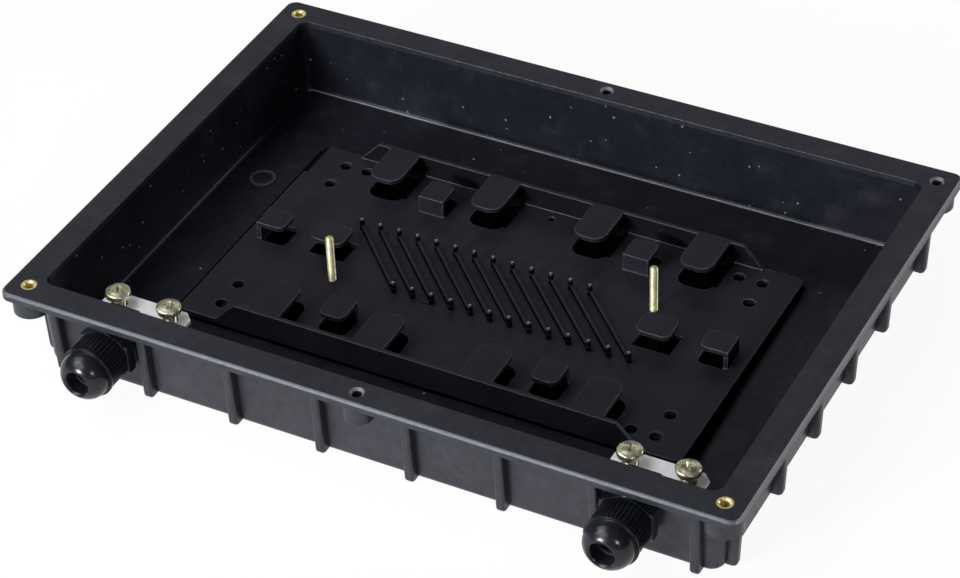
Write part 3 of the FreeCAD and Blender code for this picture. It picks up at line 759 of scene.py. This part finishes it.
def clamp_screws(material):
    """The four clamp screws: threaded shanks under pan heads, each turned its own way."""
    low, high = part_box("clamp_screws")
    length = high.z - low.z - head_height * MM
    tree, given, result = geometry_tree("clamp_screws", rod_inputs + (("Head", "NodeSocketObject"),))
    rod = threaded_rod(tree, given)
    head = chained(tree, "GeometryNodeObjectInfo", (("Object", given["Head"]),))
    whole = tree.nodes.new("GeometryNodeJoinGeometry")
    tree.links.new(rod, whole.inputs[0])
    tree.links.new(lifted(tree, head.outputs["Geometry"], given["Length"]), whole.inputs[0])
    turn = tree.nodes.new("FunctionNodeRandomValue")
    turn.data_type = "FLOAT_VECTOR"
    turn.inputs["Max"].default_value = (0, 0, math.pi)
    turn.inputs["Seed"].default_value = screw_turn_seed
    copies = chained(tree, "GeometryNodeInstanceOnPoints",
                     (("Points", given["Geometry"]), ("Instance", whole.outputs[0]),
                      ("Rotation", turn.outputs[0])))
    ended(tree, copies.outputs[0], given, result)
    middle_y = (low.y + high.y) / 2
    outer = high.x - head_diameter / 2 * MM
    reach = (outer, outer - screw_spacing * MM)
    points = placed_points("screw_points", [(side * x, middle_y, low.z) for side in (-1, 1) for x in reach])
    template = screw_head()
    values = rod_values(screw_diameter, length, screw_pitch, screw_thread_depth, screw_chamfer, material)
    values["Head"] = template
    piece = run_tree(points, tree, values)
    bpy.data.objects.remove(template)
    return piece


# Dressing

body_of = {node: body for body, nodes in frame["record"]["behaviour"]["bodies"].items() for node in nodes}
finishes = {
    "moulding": black_moulding(),
    "tray_plastic": tray_plastic(),
    "gland_nylon": gland_nylon(),
    "rubber": black_rubber(),
    "brass": turned_metal("bright_brass", dark=(0.84, 0.70, 0.26), light=(0.95, 0.86, 0.42),
                          roughness=0.36, metallic=0.85, turning_scale=2600.0),
    "pale_brass": turned_metal("pale_brass", dark=(0.52, 0.50, 0.27), light=(0.70, 0.67, 0.42),
                               roughness=0.36, metallic=0.7, turning_scale=3000.0),
    "yellow_zinc": turned_metal("yellow_zinc", dark=(0.36, 0.33, 0.18), light=(0.94, 0.92, 0.72),
                                roughness=0.26, metallic=0.8, turning_scale=2200.0),
    "zinc_plate": plated_steel(),
}
plain_nodes = {
    "box_shell": "moulding", "corner_inserts": "brass", "clamp_inserts": "brass",
    "left_gland_washer": "rubber", "right_gland_washer": "rubber",
    "left_gland_seal": "rubber", "right_gland_seal": "rubber",
}
for node, slot in plain_nodes.items():
    materials = frame["nodes"][node].data.materials
    materials.clear()
    materials.append(finishes[slot])
softened_nodes = {"splice_tray": ("tray_plastic", tray_radius, post_top)}
paired_nodes = {
    "clamp_bar": ("zinc_plate", bar_radius),
    "gland_body": ("gland_nylon", gland_body_radius),
    "gland_cap": ("gland_nylon", gland_cap_radius),
    "gland_locknut": ("gland_nylon", locknut_radius, None, locknut_turn),
}
for part, look in paired_nodes.items():
    for side in ("left_", "right_"):
        softened_nodes[side + part] = look
for node, (slot, *shape) in softened_nodes.items():
    stands_for(softened(node, *shape), node, finishes[slot])
stands_for(tray_studs(finishes["pale_brass"]), "tray_studs", finishes["pale_brass"])
stands_for(clamp_screws(finishes["yellow_zinc"]), "clamp_screws", finishes["yellow_zinc"])


# Stage

def pale_floor():
    """White floor that keeps a faint shadow and shows white to the camera and in reflections."""
    mesh = bpy.data.meshes.new("floor")
    mesh.from_pydata([(-floor_reach, -floor_reach, 0), (floor_reach, -floor_reach, 0),
                      (floor_reach, floor_reach, 0), (-floor_reach, floor_reach, 0)], [], [(0, 1, 2, 3)])
    material = bpy.data.materials.new("pale_floor")
    material.use_nodes = True
    tree = material.node_tree
    tree.nodes.remove(tree.nodes["Principled BSDF"])
    matt = tree.nodes.new("ShaderNodeBsdfDiffuse")
    matt.inputs["Color"].default_value = floor_colour
    white = tree.nodes.new("ShaderNodeEmission")
    path = tree.nodes.new("ShaderNodeLightPath").outputs
    seen = math_node(tree, "MAXIMUM", path["Is Camera Ray"], path["Is Glossy Ray"])
    seen = math_node(tree, "MAXIMUM", seen, path["Is Transmission Ray"])
    mix = tree.nodes.new("ShaderNodeMixShader")
    tree.links.new(times(tree, seen, floor_white_share), mix.inputs[0])
    tree.links.new(matt.outputs[0], mix.inputs[1])
    tree.links.new(white.outputs[0], mix.inputs[2])
    tree.links.new(mix.outputs[0], tree.nodes["Material Output"].inputs["Surface"])
    mesh.materials.append(material)
    new_object("floor", mesh)


def soft_box(name, azimuth, elevation, distance, width, height, power):
    """Studio lamp aimed at the box, azimuth from the front towards the right."""
    turn, rise = math.radians(azimuth), math.radians(elevation)
    way = Vector((math.sin(turn) * math.cos(rise), -math.cos(turn) * math.cos(rise), math.sin(rise)))
    lamp = bpy.data.lights.new(name, "AREA")
    lamp.shape = "RECTANGLE"
    lamp.size = width
    lamp.size_y = height
    lamp.energy = power
    holder = bpy.data.objects.new(name, lamp)
    holder.location = way * distance
    holder.rotation_euler = (-way).to_track_quat("-Z", "Y").to_euler()
    bpy.context.scene.collection.objects.link(holder)


def studio():
    """Floor, lamps and a dim world."""
    pale_floor()
    for name, setting in lamps.items():
        soft_box(name, *setting)
    world = bpy.data.worlds.new("studio")
    world.use_nodes = True
    back = world.node_tree.nodes["Background"]
    back.inputs["Color"].default_value = world_colour
    back.inputs["Strength"].default_value = 1.0
    bpy.context.scene.world = world
    bpy.context.scene.view_settings.view_transform = "Standard"


def camera():
    """The camera at the photograph's place."""
    view = bpy.data.cameras.new("photo_camera")
    view.lens = camera_lens
    view.sensor_width = camera_sensor
    view.clip_start = camera_clip
    holder = bpy.data.objects.new("photo_camera", view)
    holder.location = camera_place
    turn = camera_sight.to_track_quat("-Z", "Y") @ Quaternion((0, 0, 1), math.radians(camera_roll))
    holder.rotation_euler = turn.to_euler()
    bpy.context.scene.collection.objects.link(holder)
    bpy.context.scene.camera = holder


studio()
camera()
